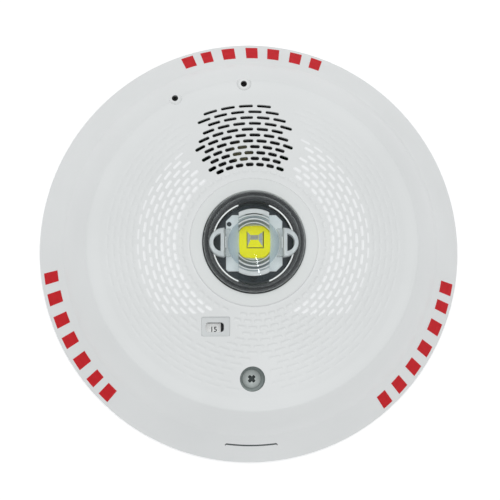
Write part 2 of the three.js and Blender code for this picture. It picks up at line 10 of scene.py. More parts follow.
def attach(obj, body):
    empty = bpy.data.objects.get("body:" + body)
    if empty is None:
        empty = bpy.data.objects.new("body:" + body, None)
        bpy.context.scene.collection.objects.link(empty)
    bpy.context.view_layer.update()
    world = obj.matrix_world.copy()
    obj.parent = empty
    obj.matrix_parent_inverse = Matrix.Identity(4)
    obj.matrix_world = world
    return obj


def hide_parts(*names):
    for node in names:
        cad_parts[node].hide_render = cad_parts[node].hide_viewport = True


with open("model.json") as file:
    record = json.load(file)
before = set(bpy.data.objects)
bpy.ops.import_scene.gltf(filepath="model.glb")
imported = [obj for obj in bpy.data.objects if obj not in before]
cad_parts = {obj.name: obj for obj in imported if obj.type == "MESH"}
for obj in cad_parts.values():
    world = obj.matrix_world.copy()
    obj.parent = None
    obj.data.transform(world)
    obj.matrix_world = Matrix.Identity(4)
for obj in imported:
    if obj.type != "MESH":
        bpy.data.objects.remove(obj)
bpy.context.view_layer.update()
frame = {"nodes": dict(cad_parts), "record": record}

MM = 0.001

# ------------------------------------------------------------ dimensions, mm
WALL = 2.3
CONE_IN_R, CONE_IN_Z = 26.2, 49.3
CONE_OUT_R, CONE_OUT_Z = 59.6, 39.3
SLOPE = (CONE_IN_Z - CONE_OUT_Z) / (CONE_OUT_R - CONE_IN_R)
CREASE_R, CREASE_Z = 74.9, 20.4
SKIRT_R, SKIRT_Z = 85.7, 3.7
FACE_EDGE = (64.95, 38.15)      # (r, z) where the face rolls over into the shoulder
LENS_HOLE_R = 19.7

CELLS = 48                      # dashes per ring
CELL_STEPS = 8                  # mesh steps across one cell
AROUND = CELLS * CELL_STEPS
CELL_DEG = 360 / CELLS
STEP_DEG = CELL_DEG / CELL_STEPS
PHASE_DEG = 70.3                # angle of the first slot of an even row
ROW_R0, ROW_PITCH = 30.1, 2.39
FIRST_ROW, LAST_ROW = -1, 11
GRILLE = [                      # first slot angle without the 0.3 shift, slot count
    (70, 7), (73.75, 7), (70, 7), (73.75, 7), (70, 7), (73.75, 7),
    (77.5, 6), (73.75, 6), (77.5, 5), (81.25, 5), (85, 4),
]
SLOT_SPAN_DEG = 5.9
SLOT_W_IN, SLOT_W_OUT = 1.5, 1.1
DASH_DEPTH_IN, DASH_DEPTH_OUT = 0.29, 0.11

WELL = (-0.45, -52.0)           # the screw well's axis, (x, y)
WELL_R = 5.0                    # room that the well needs in the face
WELL_BORE_R, WELL_BODY_R = 4.85, 6.4
WELL_BASE, WELL_FLOOR = 28.0, 30.0
WELL_HOLE_R = 2.6
WINDOW = (-14.95, -32.2, 7.0, 3.6)      # x, y, width, height
POCKET = (-14.6, -31.97, 11.0, 7.5)     # the same for the pocket round it
POCKET_DEPTH = 1.0
CHIMNEY_LOW = 38.2
TEST_HOLES = ((-30.3, 57.65), (-3.3, 63.4))
TEST_HOLE_R, TEST_HOLE_Z = 1.25, 38.6
RIM_SLOT_HALF_DEG, RIM_SLOT_Z, RIM_SLOT_H = 7.3, 14.3, 1.0
RIM_TICK_DEG, RIM_TICK_DROP = 0.35, 0.8
BAR_STARTS = (109.5, 226.6, 350.6)      # degrees; each group runs clockwise from here
BAR_SPANS = (                           # degrees from the start of the group
    (0.0, 3.4), (5.6, 8.6), (11.6, 15.2), (18.4, 21.8), (24.6, 28.0), (31.1, 34.5), (37.2, 40.4))
BAR_LOW, BAR_HIGH = 0.31, 0.905         # share of the way down the skirt

LENS_R, LENS_WALL = 19.3, 1.6
LENS_BASE, LENS_RISE = 52.0, 12.0
LENS_FLANGE_R, LENS_FLANGE_LOW, LENS_FLANGE_HIGH = 22.0, 45.0, 46.8
ARM_W, ARM_L = 11.8, 36.0
OPTIC_LOW, OPTIC_HIGH = 44, 53          # cutters for the optic reach from here to here
OPTIC_BASE = 45.2
RIDGES = (                              # inner and outer radius, top
    (7.35, 7.75, 49.5), (8.7, 9.3, 49.6), (10.2, 10.7, 49.6), (11.1, 12.9, 49.9))
RIDGE_LOW = 49.05
RIM_RING_R, RIM_RING_Z, RIM_WIRE_R = 15.72, 45.1, 0.27
LED_DOME_R, LED_DOME_Z, LED_DOME_RISE = 9.95, 45.3, 4.2
LED_DOME_LOW = 43.9
PIT_TOP = (-2.6, 4.0, -1.85, 4.8, 43.62)        # left, right, bottom, top, z
PIT_FLOOR = (-1.1, 1.9, 1.5, 3.3, 43.0)
PIT_CORNERS = ((1, 1), (0, 1), (0, 0), (1, 0))  # (right, top) in turn
SHEET = 0.03
PHOSPHOR_CENTRE = (0.5, 0.6)
PLATE_CENTRE = (0.35, 0.2)
PLATE_HALF, PLATE_CUT, PLATE_SMALL_CUT = 10.9, 2.4, 0.8
PLATE_HOLE = (-9.3, 7.6)

SLIDE_PITCH = 3.4
CANDELAS = ("15", "30", "75", "95", "115", "150", "177")
NUMBER_SIZE, NUMBER_X, NUMBER_DROP, NUMBER_Z = 2.75, -15.3, 0.7, 37.215
HORN = (-3.2, 41.9)
HORN_MOUTH = (-4.1, 37.4)
THROAT_R, THROAT_MOUTH_R = 14.3, 4.4
THROAT_LOW, THROAT_HIGH = 29.6, 30.6

SCREW_SEAT, SCREW_HEAD_R, SCREW_TOP = 30.3, 3.6, 32.6
SCREW_R, SCREW_ROOT_R = 2.1, 1.72
SCREW_TIP_Z, THREAD_Z, THREAD_STEP, THREADS = 3.4, 5.2, 0.8, 16
CROSS_L, CROSS_W = 3.3, 1.25

KEY_LIGHT, KEY_SIZE, KEY_POWER = (-0.04, 0.2, 1.24), (0.9, 0.9), 7.85       # metres, watts
GLINT_LIGHT, GLINT_SIZE, GLINT_POWER = (0.12, -0.68, 0.92), (0.02, 0.75), 0.95
GLINT_TARGET = (0, 0, 0.06)
WORLD_COLOUR, WORLD_STRENGTH = (0.96, 0.98, 1.0), 0.42
FLOOR_GLOW = 0.27
FLOOR_HALF, FLOOR_Z = 3000, -0.3

CAMERA_TARGET = (0.23, 0.86, 0)
CAMERA_DISTANCE = 0.600                 # metres
CAMERA_LENS, CAMERA_SENSOR = 104.14, 36.0
CAMERA_TILT_DEG, CAMERA_TOWARD_DEG, CAMERA_ROLL_DEG = 4.88, 65.2, -0.19


# ------------------------------------------------------------------ materials
def node_material(name):
    mat = bpy.data.materials.new(name)
    mat.use_nodes = True
    return mat, mat.node_tree.nodes, mat.node_tree.links, mat.node_tree.nodes["Principled BSDF"]


def noise_of(nodes, links, coords, scale, detail=3.0):
    noise = nodes.new("ShaderNodeTexNoise")
    noise.inputs["Scale"].default_value = scale
    noise.inputs["Detail"].default_value = detail
    links.new(coords, noise.inputs["Vector"])
    return noise


def ramp_of(nodes, links, value, stops):
    ramp = nodes.new("ShaderNodeValToRGB")
    elements = ramp.color_ramp.elements
    while len(elements) < len(stops):
        elements.new(0.5)
    for element, (position, colour) in zip(elements, stops):
        element.position = position
        element.color = (*colour, 1.0)
    links.new(value, ramp.inputs["Fac"])
    return ramp


def range_of(nodes, links, value, low, high):
    mapped = nodes.new("ShaderNodeMapRange")
    mapped.inputs["To Min"].default_value = low
    mapped.inputs["To Max"].default_value = high
    links.new(value, mapped.inputs["Value"])
    return mapped


def bump_of(nodes, links, height, strength, distance):
    bump = nodes.new("ShaderNodeBump")
    bump.inputs["Strength"].default_value = strength
    bump.inputs["Distance"].default_value = distance
    links.new(height, bump.inputs["Height"])
    return bump


def surface(name, dark, light, rough, grain=1800.0, patch=60.0, bump=0.15, metallic=0.0,
            specular=0.5, painted_glow=0.0, painted_glow_colour=(1.0, 1.0, 1.0)):
    """A solid material: patchy colour, grainy roughness and a fine moulded or rolled bump."""
    # Any glow set here is emission on a part that is no lamp: painted light.
    mat, nodes, links, bsdf = node_material(name)
    coords = nodes.new("ShaderNodeTexCoord").outputs["Object"]
    patches = noise_of(nodes, links, coords, patch)
    grains = noise_of(nodes, links, coords, grain, detail=2.0)
    colour = ramp_of(nodes, links, patches.outputs["Fac"], [(0.3, dark), (0.7, light)])
    links.new(colour.outputs["Color"], bsdf.inputs["Base Color"])
    gloss = range_of(nodes, links, grains.outputs["Fac"], rough[0], rough[1])
    links.new(gloss.outputs["Result"], bsdf.inputs["Roughness"])
    fine = bump_of(nodes, links, grains.outputs["Fac"], bump, 0.00005)
    links.new(fine.outputs["Normal"], bsdf.inputs["Normal"])
    bsdf.inputs["Metallic"].default_value = metallic
    bsdf.inputs["Specular IOR Level"].default_value = specular
    bsdf.inputs["Emission Color"].default_value = (*painted_glow_colour, 1.0)
    bsdf.inputs["Emission Strength"].default_value = painted_glow
    return mat


def clear_material(name, tint, milk=0.0, body=(0.80, 0.83, 0.84), metallic=1.0,
                   rough=(0.02, 0.06)):
    """Clear plastic seen straight through, with its gloss; milk is the share that scatters."""
    mat, nodes, links, bsdf = node_material(name)
    coords = nodes.new("ShaderNodeTexCoord").outputs["Object"]
    flow = noise_of(nodes, links, coords, 260.0, detail=2.0)
    colour = ramp_of(nodes, links, flow.outputs["Fac"], [
        (0.3, tuple(0.94 * c for c in body)), (0.7, body)])
    links.new(colour.outputs["Color"], bsdf.inputs["Base Color"])
    gloss = range_of(nodes, links, flow.outputs["Fac"], rough[0], rough[1])
    links.new(gloss.outputs["Result"], bsdf.inputs["Roughness"])
    bsdf.inputs["Metallic"].default_value = metallic
    through = nodes.new("ShaderNodeBsdfTransparent")
    through.inputs["Color"].default_value = (*tint, 1.0)
    facing = nodes.new("ShaderNodeLayerWeight")
    facing.inputs["Blend"].default_value = 0.5
    schlick = nodes.new("ShaderNodeMath")
    schlick.operation = "POWER"
    schlick.inputs[1].default_value = 5.0
    links.new(facing.outputs["Facing"], schlick.inputs[0])
    share = range_of(nodes, links, schlick.outputs["Value"], milk + 0.03, 1.0)
    mixer = nodes.new("ShaderNodeMixShader")
    links.new(share.outputs["Result"], mixer.inputs["Fac"])
    links.new(through.outputs["BSDF"], mixer.inputs[1])
    links.new(bsdf.outputs["BSDF"], mixer.inputs[2])
    links.new(mixer.outputs["Shader"], nodes["Material Output"].inputs["Surface"])
    return mat


# For surface: darker and lighter colour, then the range of roughness.
MATERIALS = {
    "cover_white": surface("cover_white_plastic", (0.78, 0.795, 0.79), (0.82, 0.835, 0.83),
                           (0.3, 0.42), patch=25.0, bump=0.08),
    "plate_white": surface("plate_white_plastic", (0.68, 0.69, 0.69), (0.74, 0.75, 0.75),
                           (0.45, 0.6), bump=0.3),
    "black_plastic": surface("black_plastic", (0.012, 0.012, 0.014), (0.03, 0.03, 0.033),
                             (0.35, 0.55), bump=0.3),
    # The zinc glows a little: painted light that brightens the screw head and other zinc parts.
    "zinc": surface("zinc_plate_painted_glow", (0.60, 0.66, 0.64), (0.74, 0.80, 0.78), (0.35, 0.55),
                    grain=900.0, patch=300.0, bump=0.3, metallic=0.35, painted_glow=0.10),
    "contact_brass": surface("rolled_brass", (0.62, 0.42, 0.13), (0.78, 0.58, 0.24),
                             (0.22, 0.4), patch=150.0, metallic=1.0),
    "black_rubber": surface("black_rubber", (0.012, 0.012, 0.012), (0.03, 0.03, 0.03),
                            (0.65, 0.85), bump=0.6),
    # The phosphor glows yellow though the LED is off: painted light.
    "phosphor": surface("yellow_phosphor_painted_glow", (0.88, 0.78, 0.002), (0.96, 0.88, 0.008),
                        (0.6, 0.75), grain=3000.0, patch=400.0, bump=0.4, specular=0.2,
                        painted_glow=0.55, painted_glow_colour=(1.0, 0.84, 0.0)),
    # The LED plate glows a little: painted light for the light that the clear parts above hold
    # back.
    "led_plate": surface("led_ceramic_plate_painted_glow", (0.60, 0.67, 0.70), (0.68, 0.74, 0.77),
                         (0.25, 0.4), patch=200.0, painted_glow=0.17),
    "led_board_dark": surface("dark_solder_mask", (0.035, 0.045, 0.052), (0.07, 0.085, 0.095),
                              (0.3, 0.45), patch=200.0),
    "heat_sink_aluminium": surface("bare_aluminium", (0.55, 0.56, 0.57), (0.68, 0.69, 0.70),
                                   (0.3, 0.5), metallic=1.0, bump=0.4),
    "ceramic_white": surface("silvered_ceramic", (0.25, 0.24, 0.14), (0.33, 0.32, 0.20),
                             (0.4, 0.6), patch=300.0),
    "board_green": surface("green_solder_mask", (0.010, 0.085, 0.030), (0.016, 0.13, 0.05),
                           (0.25, 0.4), patch=120.0),
    "capacitor_sleeve": surface("capacitor_sleeve", (0.012, 0.016, 0.04), (0.02, 0.028, 0.065),
                                (0.2, 0.35)),
    "inductor_winding": surface("enamelled_copper", (0.30, 0.10, 0.03), (0.45, 0.18, 0.06),
                                (0.25, 0.4), grain=700.0, patch=500.0, bump=0.6, metallic=0.6),
    "header_cream": surface("cream_plastic", (0.66, 0.60, 0.44), (0.74, 0.69, 0.53), (0.4, 0.55)),
    # The strip glows: painted light, so it looks lit down in the window.
    "slide_white": surface("strip_white_painted_glow", (0.84, 0.86, 0.85), (0.88, 0.90, 0.89), (0.5, 0.6),
                           painted_glow=0.32),
    "clear_lens": clear_material("clear_polycarbonate", (0.965, 0.975, 0.975)),
}
OPTIC_CLEAR = clear_material("optic_clear", (0.86, 0.90, 0.91))
LED_CLEAR = clear_material("led_silicone", (0.90, 0.94, 0.965))
LOBE_HAZE = clear_material("lobe_haze", (0.90, 0.93, 0.94), milk=0.78,
                           body=(0.90, 0.93, 0.94), metallic=0.05, rough=(0.15, 0.3))
WING_HAZE = clear_material("wing_haze", (0.92, 0.95, 0.96), milk=0.34, metallic=0.1,
                           rough=(0.1, 0.25))
# Milky white for the ridges and the bars in the eyes: painted highlight for the bright arcs the
# arms reflect.
RIDGE_PAINTED_HIGHLIGHT = clear_material("ridge_painted_highlight", (0.92, 0.94, 0.95), milk=0.84,
                             body=(0.93, 0.95, 0.95), metallic=0.05, rough=(0.15, 0.3))
# The ring glows: painted light, as it sits in the dome's shade.
RIM_PAINTED_GLOW = surface("optic_rim_painted_glow", (0.86, 0.88, 0.88), (0.92, 0.93, 0.93), (0.2, 0.3), painted_glow=0.35)
RED_INK = surface("red_ink", (0.58, 0.003, 0.009), (0.66, 0.005, 0.014), (0.6, 0.75),
                  patch=300.0, specular=0.15)
BLACK_INK = surface("black_ink", (0.008, 0.008, 0.009), (0.02, 0.02, 0.022), (0.5, 0.7))
BLACK_SCREW = surface("black_screw", (0.015, 0.015, 0.016), (0.03, 0.03, 0.032), (0.35, 0.5))
WELL_SHADE = surface("well_shade", (0.43, 0.48, 0.47), (0.51, 0.56, 0.55), (0.4, 0.55))
# Near-white, glossier floors for the dashes nearest the lens: painted highlight.
DASH_PAINTED_HIGHLIGHT = surface("dash_painted_highlight", (0.92, 0.93, 0.93), (0.95, 0.96, 0.96), (0.2, 0.3))
# A slightly darker copy of the cover's white plastic for the collar's flat top: painted shade.
COLLAR_PAINTED_SHADE = surface("collar_painted_shade", (0.76, 0.78, 0.77), (0.79, 0.81, 0.80), (0.3, 0.42),
                       patch=25.0, bump=0.08)
CROSS_SHADE = surface("cross_shade", (0.07, 0.09, 0.09), (0.11, 0.13, 0.13), (0.4, 0.6))
POCKET_SHADE = surface("pocket_shade", (0.66, 0.68, 0.68), (0.70, 0.72, 0.72), (0.4, 0.5))

SLOT_OF = {entry["node"]: entry["material_slot"] for entry in frame["record"]["subparts"]}
BODY_OF = {
    node: body
    for body, nodes in frame["record"]["behaviour"]["bodies"].items()
    for node in nodes
}


# ----------------------------------------------------------------- mesh tools
def polar(r, degrees, z):
    a = math.radians(degrees)
    return Vector((r * math.cos(a), r * math.sin(a), z))


def ring_verts(bm, r, z, count=AROUND, centre=(0, 0), phase=PHASE_DEG):
    shift = Vector((centre[0], centre[1], 0))
    return [bm.verts.new(polar(r, phase + 360 * i / count, z) + shift) for i in range(count)]


def bridge(bm, first, second):
    """A closed band of quads between two rings of equal count."""
    count = len(first)
    for i in range(count):
        j = (i + 1) % count
        bm.faces.new((first[i], first[j], second[j], second[i]))


def bridge_all(bm, rings):
    for first, second in zip(rings, rings[1:]):
        bridge(bm, first, second)


def cap(bm, rings):
    bm.faces.new(rings[0])
    bm.faces.new(rings[-1])


def turn(bm, profile, count=96, centre=(0, 0), closed=False):
    """Revolves a profile of (r, z); a point with r = 0 becomes a pole."""
    rings = []
    for r, z in profile:
        if r == 0:
            rings.append([bm.verts.new((centre[0], centre[1], z))])
        else:
            rings.append(ring_verts(bm, r, z, count, centre, 0.0))
    pairs = list(zip(rings, rings[1:]))
    if closed:
        pairs.append((rings[-1], rings[0]))
    for first, second in pairs:
        if len(first) == 1:
            for i in range(count):
                bm.faces.new((first[0], second[i], second[(i + 1) % count]))
        elif len(second) == 1:
            for i in range(count):
                bm.faces.new((first[i], second[0], first[(i + 1) % count]))
        else:
            bridge(bm, first, second)
    return rings


def rounded(w, h, radius, steps=5, centre=(0, 0)):
    """The outline of a rectangle with round corners, counter-clockwise."""
    points = []
    for index, (sx, sy) in enumerate(((1, 1), (-1, 1), (-1, -1), (1, -1))):
        cx = centre[0] + sx * (w / 2 - radius)
        cy = centre[1] + sy * (h / 2 - radius)
        for i in range(steps + 1):
            a = math.radians(90 * index + 90 * i / steps)
            points.append((cx + radius * math.cos(a), cy + radius * math.sin(a)))
    return points


def extrude_outline(bm, outline, levels, tilt=None):
    """Stacks an outline at (z, inset scale) levels and caps both ends; tilt adds to z at (x, y)."""
    cx = sum(p[0] for p in outline) / len(outline)
    cy = sum(p[1] for p in outline) / len(outline)
    rings = []
    for z, scale in levels:
        ring = [(cx + (x - cx) * scale, cy + (y - cy) * scale) for x, y in outline]
        rings.append([bm.verts.new((x, y, z + (tilt(x, y) if tilt else 0))) for x, y in ring])
    bridge_all(bm, rings)
    cap(bm, rings)
    return rings


def object_from(bm, name):
    bmesh.ops.recalc_face_normals(bm, faces=bm.faces)
    bmesh.ops.scale(bm, vec=(MM, MM, MM), verts=bm.verts)
    mesh = bpy.data.meshes.new(name)
    bm.to_mesh(mesh)
    bm.free()
    obj = bpy.data.objects.new(name, mesh)
    bpy.context.scene.collection.objects.link(obj)
    return obj


def shade(obj, sharp_deg):
    bm = bmesh.new()
    bm.from_mesh(obj.data)
    limit = math.radians(sharp_deg)
    for face in bm.faces:
        face.smooth = True
    for edge in bm.edges:
        if len(edge.link_faces) == 2:
            edge.smooth = edge.calc_face_angle(0.0) < limit
    bm.to_mesh(obj.data)
    bm.free()


def combine(obj, cutter, operation):
    """Boolean of two closed meshes; the cutter is used up."""
    modifier = obj.modifiers.new("cut", "BOOLEAN")
    modifier.operation = operation
    modifier.solver = "MANIFOLD"
    modifier.object = cutter
    graph = bpy.context.evaluated_depsgraph_get()
    result = bpy.data.meshes.new_from_object(obj.evaluated_get(graph))
    obj.modifiers.clear()
    old = obj.data
    obj.data = result
    bpy.data.meshes.remove(old)
    bpy.data.objects.remove(cutter)


def tool(build):
    bm = bmesh.new()
    build(bm)
    return object_from(bm, "tool")


def place(obj, material, body, stands_for=(), sharp_deg=32.0):
    shade(obj, sharp_deg)
    obj.data.materials.clear()
    obj.data.materials.append(material)
    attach(obj, body)
    if stands_for:
        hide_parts(*stands_for)
    return obj


# ---------------------------------------------------------------- front cover
def cone_z(r):
    return CONE_IN_Z - SLOPE * (r - CONE_IN_R)


def row_edge(k):
    return ROW_R0 + (FIRST_ROW + k - 0.5) * ROW_PITCH


def arc_points(centre, radius, start_deg, end_deg, steps):
    points = []
    for i in range(steps + 1):
        a = math.radians(start_deg + (end_deg - start_deg) * i / steps)
        points.append((centre[0] + radius * math.cos(a), centre[1] + radius * math.sin(a)))
    return points


def smooth_curve(points, steps):
    """A Catmull-Rom curve through the points, for the turned shoulder."""
    result = []
    count = len(points)
    for i in range(count - 1):
        p0 = Vector(points[max(i - 1, 0)])
        p1 = Vector(points[i])
        p2 = Vector(points[i + 1])
        p3 = Vector(points[min(i + 2, count - 1)])
        for j in range(steps):
            t = j / steps
            p = 0.5 * ((2 * p1) + (p2 - p0) * t + (2 * p0 - 5 * p1 + 4 * p2 - p3) * t * t
                       + (3 * p1 - p0 - 3 * p2 + p3) * t ** 3)
            result.append((p.x, p.y))
    result.append(tuple(points[-1]))
    return result


def stadium(half_length, half_width):
    """Twenty points of a round-ended slot, matching the cell boundary one to one."""
    straight = half_length - half_width
    arc = [math.radians(a) for a in (27, 55)]
    side = [(u * straight, -half_width) for u in (-1, -0.5, 0, 0.5, 1)]
    right = [(straight + half_width * math.sin(a), -half_width * math.cos(a)) for a in arc]
    left = [(-x, y) for x, y in reversed(right)]
    lower = left + side + right
    upper = [(x, -y) for x, y in reversed(lower)]
    return lower + [(half_length, 0)] + upper + [(-half_length, 0)]


def cell_kind(row, degrees):
    """slot, dimple or plain, from the row and the angle of the cell's centre."""
    r = ROW_R0 + row * ROW_PITCH
    a = degrees % 360
    if 0 <= row < len(GRILLE):
        first, count = GRILLE[row]
        last = first + (count - 1) * CELL_DEG
        if first - 1 < a - 0.3 < last + 1:
            return "slot"
        if first - CELL_DEG * 1.2 < a - 0.3 < last + CELL_DEG * 1.2:
            return "plain"
    elif row == len(GRILLE) and 70 < a < 120:
        return "plain"
    x, y = r * math.cos(math.radians(a)), r * math.sin(math.radians(a))
    if math.hypot(x - WELL[0], y - WELL[1]) < WELL_R + 3.2:
        return "plain"
    if abs(x - POCKET[0]) < POCKET[2] / 2 + 2.4 and abs(y - POCKET[1]) < POCKET[3] / 2 + 2.4:
        return "plain"
    return "dimple"


class Lattice:
    """The conical face: brick-laid cells, each a slot, a shallow dash or plain."""

    def __init__(self, bm):
        self.bm = bm
        rows = LAST_ROW - FIRST_ROW + 1
        self.top = [ring_verts(bm, row_edge(k), cone_z(row_edge(k))) for k in range(rows + 1)]
        self.low = [ring_verts(bm, row_edge(k), cone_z(row_edge(k)) - WALL)
                    for k in range(rows + 1)]
        for k in range(rows):
            self.add_row(k)

    def point(self, r, degrees, depth):
        return self.bm.verts.new(polar(r, degrees, cone_z(r) - depth))

    def loop(self, rings, mids, k, centre):
        half = CELL_STEPS // 2
        steps = [(centre + i) % AROUND for i in range(-half, half + 1)]
        inner = [rings[k][j] for j in steps]
        outer = [rings[k + 1][j] for j in reversed(steps)]
        return inner + [mids[steps[-1]]] + outer + [mids[steps[0]]]

    def dash(self, row, degrees, half_length, half_width, depth):
        r = ROW_R0 + row * ROW_PITCH
        return [
            self.point(r + v, degrees + math.degrees(u / r), depth)
            for u, v in stadium(half_length, half_width)
        ]

    def plain_cell(self, row, k, centre, mids):
        loop = self.loop(self.top, mids, k, centre)
        half = CELL_STEPS // 2
        r = ROW_R0 + row * ROW_PITCH
        inner = loop[:CELL_STEPS + 1]
        outer = list(reversed(loop[CELL_STEPS + 2:-1]))
        middle = [loop[-1]]
        for i in range(-half + 1, half):
            middle.append(self.point(r, PHASE_DEG + (centre + i) * STEP_DEG, 0))
        middle.append(loop[CELL_STEPS + 1])
        for a, b in ((inner, middle), (middle, outer)):
            for i in range(CELL_STEPS):
                self.bm.faces.new((a[i], a[i + 1], b[i + 1], b[i]))

    def add_row(self, k):
        row = FIRST_ROW + k
        r = ROW_R0 + row * ROW_PITCH
        half = CELL_STEPS // 2
        shift = half if row % 2 else 0
        centres = [(i * CELL_STEPS + shift) % AROUND for i in range(CELLS)]
        top_mids = {}
        low_mids = {}
        for centre in centres:
            edge = (centre + half) % AROUND
            top_mids[edge] = self.point(r, PHASE_DEG + edge * STEP_DEG, 0)
            low_mids[edge] = self.point(r, PHASE_DEG + edge * STEP_DEG, WALL)
        share = min(max(row / (len(GRILLE) - 1), 0), 1)
        b = 0.5 * (SLOT_W_IN + (SLOT_W_OUT - SLOT_W_IN) * share)
        a = math.radians(SLOT_SPAN_DEG / 2) * r
        for centre in centres:
            degrees = PHASE_DEG + centre * STEP_DEG
            kind = cell_kind(row, degrees)
            low_loop = self.loop(self.low, low_mids, k, centre)
            if kind == "plain":
                self.plain_cell(row, k, centre, top_mids)
                self.bm.faces.new(low_loop)
                continue
            top_loop = self.loop(self.top, top_mids, k, centre)
            if kind == "slot":
                bridge_all(self.bm, [
                    top_loop,
                    self.dash(row, degrees, a + 0.10, b + 0.10, 0.0),
                    self.dash(row, degrees, a + 0.03, b + 0.03, 0.03),
                    self.dash(row, degrees, a, b, 0.12),
                    self.dash(row, degrees, a, b, WALL - 0.1),
                    self.dash(row, degrees, a + 0.08, b + 0.08, WALL),
                    low_loop,
                ])
                continue
            depth = DASH_DEPTH_IN + (DASH_DEPTH_OUT - DASH_DEPTH_IN) * share
            floor = self.dash(row, degrees, a - 0.42, b - 0.42, depth)
            bridge_all(self.bm, [
                top_loop,
                self.dash(row, degrees, a + 0.06, b + 0.06, 0.0),
                self.dash(row, degrees, a - 0.10, b - 0.10, 0.25 * depth),
                self.dash(row, degrees, a - 0.28, b - 0.28, 0.8 * depth),
                floor,
            ])
            self.bm.faces.new(floor)
            self.bm.faces.new(low_loop)


def cover_profiles():
    """Turned (r, z) profiles: collar, then shoulder to rim and back, then under the collar."""
    last = row_edge(LAST_ROW - FIRST_ROW + 1)
    lip = 0.5
    collar = [(LENS_HOLE_R, 48.2), (LENS_HOLE_R, 50.05)]
    collar += arc_points((LENS_HOLE_R + lip, 50.1), lip, 180, 90, 4)[1:]
    collar += [(22.0, 50.64), (23.6, 50.6)]
    collar += arc_points((23.9, 50.0), 0.6, 80, 5, 4)
    collar += [(24.55, 49.75), (24.75, 49.62), (25.3, 49.62), (25.9, 49.42)]
    shoulder = smooth_curve([
        FACE_EDGE, (67.6, 35.2), (70.3, 31.2), (72.8, 26.2), (CREASE_R, CREASE_Z)], 5)
    rim = [(last + 1.0, cone_z(last + 1.0)), (59.3, cone_z(59.3)), (59.9, 39.24), (62.0, 38.98)]
    rim += [(63.9, 38.76), (64.5, 38.55)]
    rim += shoulder
    rim += [(75.6, 19.25), (76.6, 17.72), (79.0, 14.05), (82.0, 9.42), (84.6, 5.4)]
    rim += [(SKIRT_R, SKIRT_Z), (86.15, 2.95), (86.35, 2.3), (86.4, 1.6), (86.35, 0.85)]
    rim += [(86.1, 0.6)]
    rim += [(84.1, 0.6), (83.7, 2.4), (83.0, 3.7), (78.0, 11.4), (72.8, 19.4)]
    rim += [(70.6, 25.4), (67.2, 31.8), (63.4, 36.0), (59.2, 37.02), (58.4, cone_z(58.4) - WALL)]
    under = [(25.7, 47.0), (24.0, 48.2)]
    return collar, rim, under


def build_cover(bm):
    collar, rim, under = cover_profiles()
    lattice = Lattice(bm)
    inside = [ring_verts(bm, r, z) for r, z in collar]
    outside = [ring_verts(bm, r, z) for r, z in rim]
    below = [ring_verts(bm, r, z) for r, z in under]
    chains = (
        inside + [lattice.top[0]],
        [lattice.top[-1]] + outside + [lattice.low[-1]],
        [lattice.low[0]] + below + [inside[0]],
    )
    for chain in chains:
        bridge_all(bm, chain)


def cylinder_tool(r, low, high, x, y, count=64):
    return tool(lambda bm: turn(bm, [(0, low), (r, low), (r, high), (0, high)], count, (x, y)))


def window_floor():
    """Height of the pocket's floor at the middle of the window."""
    return cone_z(math.hypot(WINDOW[0], WINDOW[1])) - POCKET_DEPTH


def window_tilt(x, y):
    """How much the face falls from the window's centre to (x, y)."""
    r = math.hypot(WINDOW[0], WINDOW[1])
    out = ((x - WINDOW[0]) * WINDOW[0] + (y - WINDOW[1]) * WINDOW[1]) / r
    return -SLOPE * out


def tint_faces(obj, material, inside):
    """Gives the faces whose centre passes the test a second material."""
    obj.data.materials.append(material)
    index = len(obj.data.materials) - 1
    for face in obj.data.polygons:
        if inside(face.center / MM, face.normal):
            face.material_index = index


def in_well(p, n):
    near = math.hypot(p.x - WELL[0], p.y - WELL[1]) < WELL_R
    return near and p.z > WELL_FLOOR - 0.1 and (abs(n.z) < 0.5 or p.z < WELL_FLOOR + 1)


def in_dash_painted_highlight(p, n):
    """The floors of the shallow dashes nearest the lens, above the window: painted highlight."""
    r = math.hypot(p.x, p.y)
    in_rows = 28.5 < r < 44.5 and p.y > -27.0
    return in_rows and n.z > 0.7 and 0.03 < cone_z(r) - p.z < 0.6


# The collar's flat top, which gets painted shade.
def in_collar_painted_shade(p, n):
    return math.hypot(p.x, p.y) < 24.4 and n.z > 0.8 and p.z > 49.9


def in_pocket(p, n):
    x, y, w, h = POCKET
    inside = abs(p.x - x) < w / 2 + 0.1 and abs(p.y - y) < h / 2 + 0.1
    return inside and 38.0 < p.z < window_floor() + window_tilt(p.x, p.y) + 0.6


def in_rim_slot(p, n):
    """The slot's own walls: the only skirt faces near its height that lie inside the skirt."""
    off = math.degrees(math.atan2(p.x, -p.y))
    depth = CREASE_R + (CREASE_Z - p.z) * (SKIRT_R - CREASE_R) / (CREASE_Z - SKIRT_Z)
    near = abs(off) < 8.2 and 11.5 < p.z < 15.2
    return near and 0.15 < depth - math.hypot(p.x, p.y) < 1.9


def hang_under_face(cover):
    """Adds the body of the screw well and the window's chimney."""
    r, top, edge = WELL_BODY_R, 39.6, 0.3
    well = [(0, WELL_BASE), (r - 0.2, WELL_BASE), (r, WELL_BASE + edge), (r, top), (0, top)]
    combine(cover, tool(lambda bm: turn(bm, well, 64, WELL)), "UNION")
    x, y, w, h = WINDOW
    chimney = rounded(w + 2.4, h + 2.4, 0.8, centre=(x, y))
    levels = [(CHIMNEY_LOW, 1.0), (window_floor() - 0.6, 1.0)]
    combine(cover, tool(lambda bm: extrude_outline(bm, chimney, levels, window_tilt)), "UNION")


def bore_well(cover):
    r, top, fillet = WELL_BORE_R, 60, 0.3
    bore = [(0, WELL_FLOOR), (r - fillet, WELL_FLOOR), (r, WELL_FLOOR + fillet), (r, top),
            (0, top)]
    combine(cover, tool(lambda bm: turn(bm, bore, 64, WELL)), "DIFFERENCE")
    combine(cover, cylinder_tool(WELL_HOLE_R, 20, WELL_FLOOR + 2, *WELL), "DIFFERENCE")


